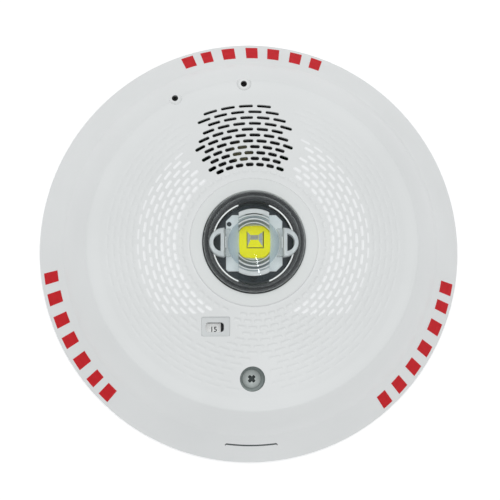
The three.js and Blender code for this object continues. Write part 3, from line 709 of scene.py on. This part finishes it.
def cut_window(cover):
    """The shallow pocket and the opening in it, both parallel to the conical face."""
    floor = window_floor()
    x, y, w, h = POCKET
    pocket = rounded(w, h, 0.7, centre=(x, y))
    levels = [(floor, 0.97), (floor + 0.15, 0.985), (floor + 1.0, 1.0), (floor + 5, 1.05)]
    combine(cover, tool(lambda bm: extrude_outline(bm, pocket, levels, window_tilt)),
            "DIFFERENCE")
    x, y, w, h = WINDOW
    opening = rounded(w, h, 1.15, centre=(x, y))
    levels = [(30, 1.0), (floor - 0.12, 1.0), (floor + 0.02, 1.05), (60, 1.05)]
    combine(cover, tool(lambda bm: extrude_outline(bm, opening, levels, window_tilt)),
            "DIFFERENCE")


def cut_test_holes(cover):
    z = TEST_HOLE_Z
    cup = [(0, z - 1.1), (1.5, z - 1.1), (2.1, z - 0.85), (2.75, z - 0.1), (3.3, z + 1.2),
           (0, z + 1.2)]
    for x, y in TEST_HOLES:
        combine(cover, tool(lambda bm, p=(x, y): turn(bm, cup, 48, p)), "DIFFERENCE")
        combine(cover, cylinder_tool(TEST_HOLE_R, 30, 45, x, y, 40), "DIFFERENCE")


def make_cover():
    bm = bmesh.new()
    build_cover(bm)
    cover = object_from(bm, "cover_shell")
    hang_under_face(cover)
    bore_well(cover)
    cut_window(cover)
    cut_test_holes(cover)
    combine(cover, tool(rim_slot), "DIFFERENCE")
    place(cover, MATERIALS["cover_white"], "head", ("front_cover", "screw_well"),
          sharp_deg=28)
    tint_faces(cover, WELL_SHADE, in_well)
    tint_faces(cover, POCKET_SHADE, in_pocket)
    tint_faces(cover, CROSS_SHADE, in_rim_slot)
    # Painted highlight on the floors of the dashes nearest the lens.
    tint_faces(cover, DASH_PAINTED_HIGHLIGHT, in_dash_painted_highlight)
    # Painted shade on the collar's flat top.
    tint_faces(cover, COLLAR_PAINTED_SHADE, in_collar_painted_shade)


def make_window_shade():
    """A black bar at the right of the candela window, painted shade for the gap beside the strip.
    """
    x, y, w, h = WINDOW
    width, low, high = 1.15, 41.0, 42.0
    bm = bmesh.new()
    extrude_outline(bm, rounded(width, h - 0.1, 0.2, centre=(x + (w - width) / 2, y)),
                    [(low, 1.0), (high, 1.0)])
    place(object_from(bm, "window_shade"), MATERIALS["black_plastic"], "head",
          sharp_deg=30)


def rim_slot(bm):
    """A thin arc slot through the skirt, with a short tick outwards at each end."""
    half, z = RIM_SLOT_HALF_DEG, RIM_SLOT_Z
    inner_r, outer_r, steps = 74, 88, 8
    path = [(-half - RIM_TICK_DEG, -RIM_TICK_DROP)]
    path += [(-half + half * i / steps, 0.0) for i in range(2 * steps + 1)]
    path += [(half + RIM_TICK_DEG, -RIM_TICK_DROP)]
    rings = []
    for degrees, drop in path:
        a = 270 + degrees
        low, high = z + drop - RIM_SLOT_H / 2, z + drop + RIM_SLOT_H / 2
        corners = ((inner_r, low), (outer_r, low), (outer_r, high), (inner_r, high))
        rings.append([bm.verts.new(polar(r, a, level)) for r, level in corners])
    bridge_all(bm, rings)
    cap(bm, rings)


def skirt_point(share, degrees, lift):
    """A point on the skirt: share 0 at the crease and 1 at the rim."""
    r = CREASE_R + (SKIRT_R - CREASE_R) * share
    z = CREASE_Z + (SKIRT_Z - CREASE_Z) * share
    length = math.hypot(SKIRT_R - CREASE_R, CREASE_Z - SKIRT_Z)
    nr = (CREASE_Z - SKIRT_Z) / length
    nz = (SKIRT_R - CREASE_R) / length
    return polar(r + lift * nr, degrees, z + lift * nz)


def skirt_patch(bm, start_deg, end_deg, low_share, high_share):
    """A thin printed patch that stands just proud of the skirt."""
    proud, sunk, most_deg = 0.035, -0.05, 0.8
    steps = max(2, round(abs(end_deg - start_deg) / most_deg))
    rings = []
    for i in range(steps + 1):
        a = start_deg + (end_deg - start_deg) * i / steps
        corners = ((low_share, proud), (high_share, proud), (high_share, sunk), (low_share, sunk))
        rings.append([bm.verts.new(skirt_point(share, a, lift)) for share, lift in corners])
    bridge_all(bm, rings)
    cap(bm, rings)


def make_marks():
    """Three groups of plain red bars, where the real device has its red printing."""
    bm = bmesh.new()
    for start in BAR_STARTS:
        for a, b in BAR_SPANS:
            skirt_patch(bm, start - a, start - b, BAR_LOW, BAR_HIGH)
    marks = object_from(bm, "skirt_bars")
    place(marks, RED_INK, "head")


# -------------------------------------------------------------- lens and strobe
def make_dome():
    """The clear dome with its flange, hollow inside."""
    r, rim, low, high = LENS_R, LENS_FLANGE_R, LENS_FLANGE_LOW, LENS_FLANGE_HIGH
    outer = [(rim, low), (rim, high - 0.2), (rim - 0.2, high), (r + 0.3, high), (r, high + 0.3),
             (r, LENS_BASE - 0.8)]
    steps = 26
    for i in range(steps + 1):
        a = math.radians(90 * i / steps)
        outer.append((r * math.cos(a) if i < steps else 0, LENS_BASE + LENS_RISE * math.sin(a)))
    inner = []
    inner_r, inner_rise = LENS_R - LENS_WALL, LENS_RISE - LENS_WALL
    for i in range(steps + 1):
        a = math.radians(90 - 90 * i / steps)
        inner.append((inner_r * math.cos(a) if i else 0, LENS_BASE + inner_rise * math.sin(a)))
    inner += [(inner_r, low + 1.0), (inner_r + 0.2, low)]
    bm = bmesh.new()
    outer_rings = turn(bm, outer, 128)
    inner_rings = turn(bm, inner, 128)
    bridge(bm, inner_rings[-1], outer_rings[0])
    dome = object_from(bm, "lens_shell")
    place(dome, MATERIALS["clear_lens"], "head", ("lens_dome",), sharp_deg=40)


def arm_tool(width, length):
    """The space of the two arms, as a cutter."""
    band = rounded(width, length, 0.6, steps=4)
    levels = [(OPTIC_LOW, 1.0), (OPTIC_HIGH, 1.0)]
    return tool(lambda bm: extrude_outline(bm, band, levels))


def make_saddle():
    """The two clear arms that reach up and down the dome."""
    lower = [(6.9, 48.75), (10.4, 48.75), (10.4, OPTIC_BASE), (17.0, OPTIC_BASE)]
    upper = [(17.0, 45.9), (16.2, 46.8), (14.4, 47.8), (13.3, 48.6), (12.9, 49.15), (6.9, 49.15)]
    saddle = tool(lambda bm: turn(bm, lower + upper, 128, closed=True))
    combine(saddle, arm_tool(ARM_W, ARM_L), "INTERSECT")
    saddle.name = "optic_saddle"
    place(saddle, OPTIC_CLEAR, "head", ("cross_optic",), sharp_deg=40)


def make_ridge(name, inner, outer, high):
    """One concentric ridge with a rounded top, on both arms, milky white: painted highlight."""
    middle, half = (inner + outer) / 2, (outer - inner) / 2
    profile = [(inner, RIDGE_LOW), (outer, RIDGE_LOW)]
    for i in range(7):
        a = math.radians(180 * i / 6)
        profile.append((middle + half * math.cos(a), high - half * 0.5 * (1 - math.sin(a))))
    ridge = tool(lambda bm: turn(bm, profile, 128, closed=True))
    combine(ridge, arm_tool(ARM_W - 0.2, ARM_L), "INTERSECT")
    ridge.name = name
    place(ridge, RIDGE_PAINTED_HIGHLIGHT, "head", sharp_deg=40)


def make_lobe(side, name):
    """A D-shaped eye at the end of a cross arm, and the thinner wing that joins it."""
    half, low = 5.65, OPTIC_BASE
    outline = [(side * x, y) for x, y in arc_points((11.5, 0), half, -90, 90, 24)]
    outline += [(side * 11.2, half), (side * 11.2, -half)]
    eye = tool(lambda bm: extrude_outline(
        bm, outline, [(low, 1.0), (48.9, 1.0), (49.5, 0.96), (49.8, 0.88)]))
    hole = [(side * x, y) for x, y in arc_points((12.2, 0), 3.3, -80, 80, 20)]
    combine(eye, tool(lambda bm: extrude_outline(
        bm, hole, [(OPTIC_LOW, 1.0), (49.2, 1.0), (51, 1.2)])), "DIFFERENCE")
    combine(eye, cylinder_tool(17.15, OPTIC_LOW, 52, 0, 0, 128), "INTERSECT")
    eye.name = name + "_eye"
    place(eye, LOBE_HAZE, "head", sharp_deg=40)
    wing_outline = rounded(2.6, 10.6, 0.4, centre=(side * 9.95, 0))
    wing = tool(lambda bm: extrude_outline(
        bm, wing_outline, [(low, 1.0), (48.2, 1.0), (48.6, 0.96)]))
    combine(wing, cylinder_tool(LED_DOME_R + 0.2, OPTIC_LOW, 52, 0, 0, 96), "DIFFERENCE")
    wing.name = name + "_wing"
    place(wing, WING_HAZE, "head", sharp_deg=40)
    # The bars are milky white like the ridges: painted highlight.
    for index, (x, length) in enumerate(((11.55, 6.6), (10.75, 4.4))):
        slit = rounded(0.34, length, 0.15, centre=(side * x, 0))
        bar = tool(lambda bm, o=slit: extrude_outline(bm, o, [(49.25, 1.0), (49.9, 0.97)]))
        bar.name = f"{name}_bar_{index}"
        place(bar, RIDGE_PAINTED_HIGHLIGHT, "head", sharp_deg=40)


def make_cross_optic():
    """The strobe's cross-shaped optic: two ridged arms, two eyes and a bright ring below."""
    make_saddle()
    for index, (inner, outer, high) in enumerate(RIDGES):
        make_ridge(f"optic_ridge_{index}", inner, outer, high)
    make_lobe(-1, "optic_left")
    make_lobe(1, "optic_right")
    make_rim_ring()


def make_rim_ring():
    """The thin bright ring the dome shows in the gaps between the arms, glowing: painted light."""
    wire = arc_points((RIM_RING_R, RIM_RING_Z), RIM_WIRE_R, 0, 315, 7)
    bm = bmesh.new()
    turn(bm, wire, 128, closed=True)
    ring = object_from(bm, "optic_rim_ring")
    combine(ring, arm_tool(ARM_W, ARM_L + 4.0), "DIFFERENCE")
    place(ring, RIM_PAINTED_GLOW, "head", sharp_deg=60)


def make_led_optic():
    """The round silicone dome over the LED."""
    profile = [(0, LED_DOME_LOW), (LED_DOME_R, LED_DOME_LOW)]
    for i in range(15):
        a = math.radians(90 * i / 14)
        r = LED_DOME_R * math.cos(a) if i < 14 else 0
        profile.append((r, LED_DOME_Z + LED_DOME_RISE * math.sin(a)))
    bm = bmesh.new()
    turn(bm, profile, 96)
    optic = object_from(bm, "led_dome")
    place(optic, LED_CLEAR, "head", ("led_optic",), sharp_deg=40)


def dense(points, most):
    """The same outline with no edge longer than most."""
    result = []
    for i, (x0, y0) in enumerate(points):
        x1, y1 = points[(i + 1) % len(points)]
        pieces = max(1, math.ceil(math.hypot(x1 - x0, y1 - y0) / most))
        result += [(x0 + (x1 - x0) * j / pieces, y0 + (y1 - y0) * j / pieces)
                   for j in range(pieces)]
    return result


def panel(bm, corners, lift):
    """A thin closed sheet over four (x, y, z) corners."""
    low = [bm.verts.new(c) for c in corners]
    high = [bm.verts.new((x, y, z + lift)) for x, y, z in corners]
    bridge(bm, low, high)
    cap(bm, [low, high])


def pit_corner(share, right, top):
    """A corner of the pit: share 0 at its top and 1 on its floor."""
    a = [PIT_TOP[i] + (PIT_FLOOR[i] - PIT_TOP[i]) * share for i in range(5)]
    return (a[1] if right else a[0], a[3] if top else a[2], a[4])


def make_phosphor():
    """Yellow coating with a stepped square pit where the die shows through."""
    width, height, bulge = 11.2, 11.6, 0.45
    shape = rounded(width, height, 1.9, steps=6)
    cx, cy = PHOSPHOR_CENTRE
    outline = []
    for x, y in dense(shape, 0.7):
        side = max(0.0, 1 - (2 * y / height) ** 2)
        end = max(0.0, 1 - (2 * x / width) ** 2)
        outline.append((cx + x + math.copysign(bulge, x) * side,
                        cy + y + math.copysign(bulge, y) * end))
    body = tool(lambda bm: extrude_outline(
        bm, outline, [(42.72, 0.985), (42.8, 1.0), (43.4, 1.0), (43.6, 0.97)]))
    combine(body, tool(build_pit), "DIFFERENCE")
    body.name = "phosphor_square"
    place(body, MATERIALS["phosphor"], "head", ("led_phosphor",), sharp_deg=30)


def build_pit(bm):
    """The space of the pit, as a cutter that starts just above the phosphor."""
    rings = []
    for share in (-0.1, 1.0):
        rings.append([bm.verts.new(pit_corner(share, r, t)) for r, t in PIT_CORNERS])
    bridge_all(bm, rings)
    cap(bm, rings)


def make_die():
    """Thin sheets on the sides, the edges and the floor of the pit."""
    lilac = surface("die_lilac", (0.70, 0.68, 0.74), (0.86, 0.85, 0.88), (0.2, 0.35), patch=900.0)
    dark = surface("die_edge", (0.05, 0.05, 0.03), (0.09, 0.08, 0.05), (0.4, 0.6), patch=900.0)
    pink = surface("die_face", (0.66, 0.56, 0.46), (0.82, 0.72, 0.62), (0.2, 0.35), patch=900.0)
    sides = bmesh.new()
    for right in (False, True):
        panel(sides, [pit_corner(0.25, right, False), pit_corner(0.95, right, False),
                      pit_corner(0.95, right, True), pit_corner(0.25, right, True)], SHEET)
    place(object_from(sides, "die_sides"), lilac, "head", sharp_deg=30)
    edges = bmesh.new()
    for right in (False, True):
        panel(edges, [pit_corner(0.0, right, False), pit_corner(0.2, right, False),
                      pit_corner(0.2, right, True), pit_corner(0.0, right, True)], SHEET)
    panel(edges, [pit_corner(0.0, False, False), pit_corner(0.0, True, False),
                  pit_corner(0.1, True, False), pit_corner(0.1, False, False)], SHEET)
    place(object_from(edges, "die_edges"), dark, "head", sharp_deg=30)
    floor = bmesh.new()
    panel(floor, [pit_corner(1.0, r, t) for r, t in PIT_CORNERS], SHEET)
    place(object_from(floor, "die_face"), pink, "head", sharp_deg=30)


def make_led_plate():
    """The light plate under the LED: three cut corners, one nearly square."""
    half, inset, small = PLATE_HALF, PLATE_HALF - PLATE_CUT, PLATE_HALF - PLATE_SMALL_CUT
    corners = [(inset, -half), (half, -inset), (half, inset), (inset, half),
               (-inset, half), (-half, inset), (-half, -small), (-small, -half)]
    outline = [(x + PLATE_CENTRE[0], y + PLATE_CENTRE[1]) for x, y in corners]
    plate = tool(lambda bm: extrude_outline(
        bm, outline, [(40.7, 0.99), (40.85, 1.0), (42.2, 1.0), (42.4, 0.985)]))
    combine(plate, cylinder_tool(0.95, 39, 44, *PLATE_HOLE, count=24), "DIFFERENCE")
    plate.name = "led_carrier_plate"
    place(plate, MATERIALS["led_plate"], "head", ("reflector_plate",), sharp_deg=30)


def make_lens_frame():
    """The black ring that the dome's flange sits on."""
    profile = [(15.95, 40.7), (15.95, 44.2), (16.25, 44.6), (16.8, 44.7), (24.1, 44.7),
               (24.4, 44.4), (24.4, 40.7)]
    bm = bmesh.new()
    turn(bm, profile, 96, closed=True)
    ring = object_from(bm, "lens_seat_ring")
    place(ring, MATERIALS["black_plastic"], "head", ("lens_frame",),
          sharp_deg=30)


def make_horn_throat():
    """The black baffle over the piezo, with a small mouth off its middle."""
    throat = cylinder_tool(THROAT_R, THROAT_LOW, THROAT_HIGH, *HORN)
    mouth = cylinder_tool(THROAT_MOUTH_R, THROAT_LOW - 0.6, THROAT_HIGH + 0.6, *HORN_MOUTH)
    throat.name = "horn_throat"
    combine(throat, mouth, "DIFFERENCE")
    throat.data.name = "horn_throat"
    place(throat, MATERIALS["black_plastic"], "head", sharp_deg=30)


# -------------------------------------------------------------- fixing screw
def screw_profile():
    """(r, z) from the tip up: rings for the thread, a plain neck and a domed pan head."""
    seat, r = SCREW_SEAT, SCREW_HEAD_R
    profile = [(0, SCREW_TIP_Z), (0.9, SCREW_TIP_Z), (2.0, SCREW_TIP_Z + 1.4)]
    for i in range(THREADS):
        z = THREAD_Z + i * THREAD_STEP
        profile += [(SCREW_R, z), (SCREW_ROOT_R, z + THREAD_STEP / 2)]
    brim, steps = seat + 0.9, 8
    profile += [(SCREW_R, 19.0), (SCREW_R, seat), (r - 0.15, seat), (r, seat + 0.2), (r, brim)]
    for i in range(1, steps + 1):
        a = math.radians(90 * i / steps)
        profile.append((r * math.cos(a) if i < steps else 0,
                        brim + (SCREW_TOP - brim) * math.sin(a)))
    return profile


def make_screw():
    screw = tool(lambda bm: turn(bm, screw_profile(), 48, WELL))
    top = SCREW_TOP
    for turn_deg in (45, 135):
        turned = Matrix.Rotation(math.radians(turn_deg), 2)
        slot = [tuple(turned @ Vector(p) + Vector(WELL))
                for p in rounded(CROSS_L, CROSS_W, 0.3, steps=3)]
        combine(screw, tool(lambda bm, s=slot: extrude_outline(
            bm, s, [(top - 1.9, 0.7), (top - 1.7, 0.78), (top + 0.3, 1.04)])), "DIFFERENCE")
    screw.name = "fixing_screw"
    place(screw, MATERIALS["zinc"], "screw", ("mounting_screw",), sharp_deg=35)
    tint_faces(screw, CROSS_SHADE, in_cross)


def in_cross(p, n):
    """The walls and floor of the cross recess, a little below the top of the head."""
    x, y = p.x - WELL[0], p.y - WELL[1]
    across, along = abs(x + y) * math.sqrt(0.5), abs(x - y) * math.sqrt(0.5)
    inside = max(across, along) < 1.9 and min(across, along) < 0.6
    return inside and SCREW_SEAT + 0.2 < p.z < SCREW_TOP - 0.25


# ------------------------------------------------------------ candela numbers
def text_mesh(body, size, x, y, z):
    curve = bpy.data.curves.new("number", "FONT")
    curve.body = body
    curve.size = size
    curve.align_x = "CENTER"
    curve.align_y = "CENTER"
    curve.extrude = 0.015
    curve.offset = 0.05
    holder = bpy.data.objects.new("number", curve)
    bpy.context.scene.collection.objects.link(holder)
    graph = bpy.context.evaluated_depsgraph_get()
    mesh = bpy.data.meshes.new_from_object(holder.evaluated_get(graph))
    bpy.data.objects.remove(holder)
    mesh.transform(Matrix.Translation((x, y, z)))
    return mesh


def make_numbers():
    bm = bmesh.new()
    for i, candela in enumerate(CANDELAS):
        y = WINDOW[1] - NUMBER_DROP - i * SLIDE_PITCH
        mesh = text_mesh(candela, NUMBER_SIZE, NUMBER_X, y, NUMBER_Z)
        bm.from_mesh(mesh)
        bpy.data.meshes.remove(mesh)
    numbers = object_from(bm, "candela_numbers")
    place(numbers, BLACK_INK, "candela_selector", sharp_deg=30)


# ------------------------------------------- remaining CAD nodes, edges eased
def eased_copy(node, width):
    """A copy of a CAD node with its flat faces joined up and its edges rounded."""
    source = frame["nodes"][node]
    bm = bmesh.new()
    bm.from_mesh(source.data)
    bmesh.ops.scale(bm, vec=(1 / MM, 1 / MM, 1 / MM), verts=bm.verts)
    bmesh.ops.remove_doubles(bm, verts=bm.verts, dist=0.002)
    bmesh.ops.dissolve_limit(bm, angle_limit=math.radians(0.6), verts=bm.verts, edges=bm.edges)
    limit = math.radians(35.0)
    edges = [e for e in bm.edges if len(e.link_faces) == 2 and e.calc_face_angle(0.0) > limit]
    bmesh.ops.bevel(bm, geom=edges, offset=width, offset_type="OFFSET", segments=2,
                    profile=0.5, affect="EDGES", clamp_overlap=True)
    return object_from(bm, node + "_eased")


# Edge radius in mm for each CAD node that is shown through a rounded copy.
EASED = {
    "mounting_plate": 0.35, "terminal_block": 0.3, "rear_cover": 0.35, "heat_sink": 0.15,
    "horn_body": 0.25, "main_board": 0.12, "controller_chip": 0.12, "board_header": 0.25,
    "candela_slide": 0.18, "candela_switch_body": 0.25, "tone_switch_body": 0.3,
    "tone_dial": 0.25, "retaining_washer": 0.15, "shorting_spring": 0.12, "led_board": 0.12,
    "inductor": 0.3,
}
EASED.update({f"terminal_screw_{i}": 0.2 for i in range(1, 5)})
EASED.update({f"clamp_plate_{i}": 0.15 for i in range(1, 5)})
EASED.update({f"contact_spring_{i}": 0.15 for i in range(1, 5)})
EASED.update({f"contact_blade_{i}": 0.15 for i in range(1, 5)})
EASED.update({f"cover_screw_{i}": 0.2 for i in range(1, 5)})
EASED.update({f"capacitor_{i}": 0.4 for i in range(1, 4)})
EASED.update({"led_screw_1": 0.15, "led_screw_2": 0.15})


def make_eased():
    for node, width in EASED.items():
        piece = eased_copy(node, width)
        slot = SLOT_OF[node]
        look = BLACK_SCREW if node.startswith("led_screw") else MATERIALS[slot]
        place(piece, look, BODY_OF[node], (node,), sharp_deg=30)


def dress_cad_nodes():
    """Gives every CAD node its procedural material, shown or not."""
    for node, obj in frame["nodes"].items():
        obj.data.materials.clear()
        obj.data.materials.append(MATERIALS[SLOT_OF[node]])


# ------------------------------------------------------------ floor and light
def make_stage():
    mat, nodes, links, bsdf = node_material("pale_floor")
    coords = nodes.new("ShaderNodeTexCoord").outputs["Object"]
    patches = noise_of(nodes, links, coords, 4.0)
    colour = ramp_of(nodes, links, patches.outputs["Fac"], [
        (0.3, (0.90, 0.90, 0.90)), (0.7, (0.93, 0.93, 0.93))])
    links.new(colour.outputs["Color"], bsdf.inputs["Base Color"])
    bsdf.inputs["Roughness"].default_value = 0.9
    bsdf.inputs["Emission Color"].default_value = (1, 1, 1, 1)
    bsdf.inputs["Emission Strength"].default_value = FLOOR_GLOW
    bm = bmesh.new()
    bmesh.ops.create_grid(bm, x_segments=8, y_segments=8, size=FLOOR_HALF)
    bmesh.ops.translate(bm, vec=(0, 0, FLOOR_Z), verts=bm.verts)
    floor = object_from(bm, "floor")
    floor.data.materials.append(mat)


def area_light(name, location, target, size, power, in_gloss):
    """A rectangular lamp aimed at a point; in_gloss says whether reflections show it."""
    data = bpy.data.lights.new(name, "AREA")
    data.shape = "RECTANGLE"
    data.size, data.size_y = size
    data.energy = power
    light = bpy.data.objects.new(name, data)
    light.location = location
    light.visible_glossy = in_gloss
    aim = Vector(target) - Vector(location)
    light.rotation_euler = aim.to_track_quat("-Z", "Y").to_euler()
    bpy.context.scene.collection.objects.link(light)


def make_light():
    world = bpy.data.worlds.new("studio")
    bpy.context.scene.world = world
    world.use_nodes = True
    background = world.node_tree.nodes["Background"]
    background.inputs["Color"].default_value = (*WORLD_COLOUR, 1.0)
    background.inputs["Strength"].default_value = WORLD_STRENGTH
    area_light("key", KEY_LIGHT, (0, 0, 0), KEY_SIZE, KEY_POWER, in_gloss=False)
    area_light("glint", GLINT_LIGHT, GLINT_TARGET, GLINT_SIZE, GLINT_POWER, in_gloss=True)
    bpy.context.scene.view_settings.view_transform = "Standard"


def make_camera():
    """Nearly straight down on the lens, from the screw side and a little left."""
    data = bpy.data.cameras.new("camera")
    data.sensor_width = CAMERA_SENSOR
    data.lens = CAMERA_LENS
    data.clip_start = 0.01
    camera = bpy.data.objects.new("camera", data)
    bpy.context.scene.collection.objects.link(camera)
    target = Vector(CAMERA_TARGET) * MM
    tilt, toward = math.radians(CAMERA_TILT_DEG), math.radians(CAMERA_TOWARD_DEG)
    forward = Vector((math.sin(tilt) * math.cos(toward), math.sin(tilt) * math.sin(toward),
                      -math.cos(tilt)))
    right = forward.cross(Vector((0, 1, 0))).normalized()
    up = right.cross(forward)
    roll = math.radians(CAMERA_ROLL_DEG)
    turned_right = right * math.cos(roll) + up * math.sin(roll)
    turned_up = up * math.cos(roll) - right * math.sin(roll)
    turn_to = Matrix((turned_right, turned_up, -forward)).transposed()
    place_at = Matrix.Translation(target - forward * CAMERA_DISTANCE)
    camera.matrix_world = place_at @ turn_to.to_4x4()
    bpy.context.scene.camera = camera


make_cover()
make_window_shade()
make_marks()
make_dome()
make_cross_optic()
make_led_optic()
make_phosphor()
make_die()
make_led_plate()
make_lens_frame()
make_horn_throat()
make_screw()
make_numbers()
dress_cad_nodes()
make_eased()
make_stage()
make_light()
make_camera()
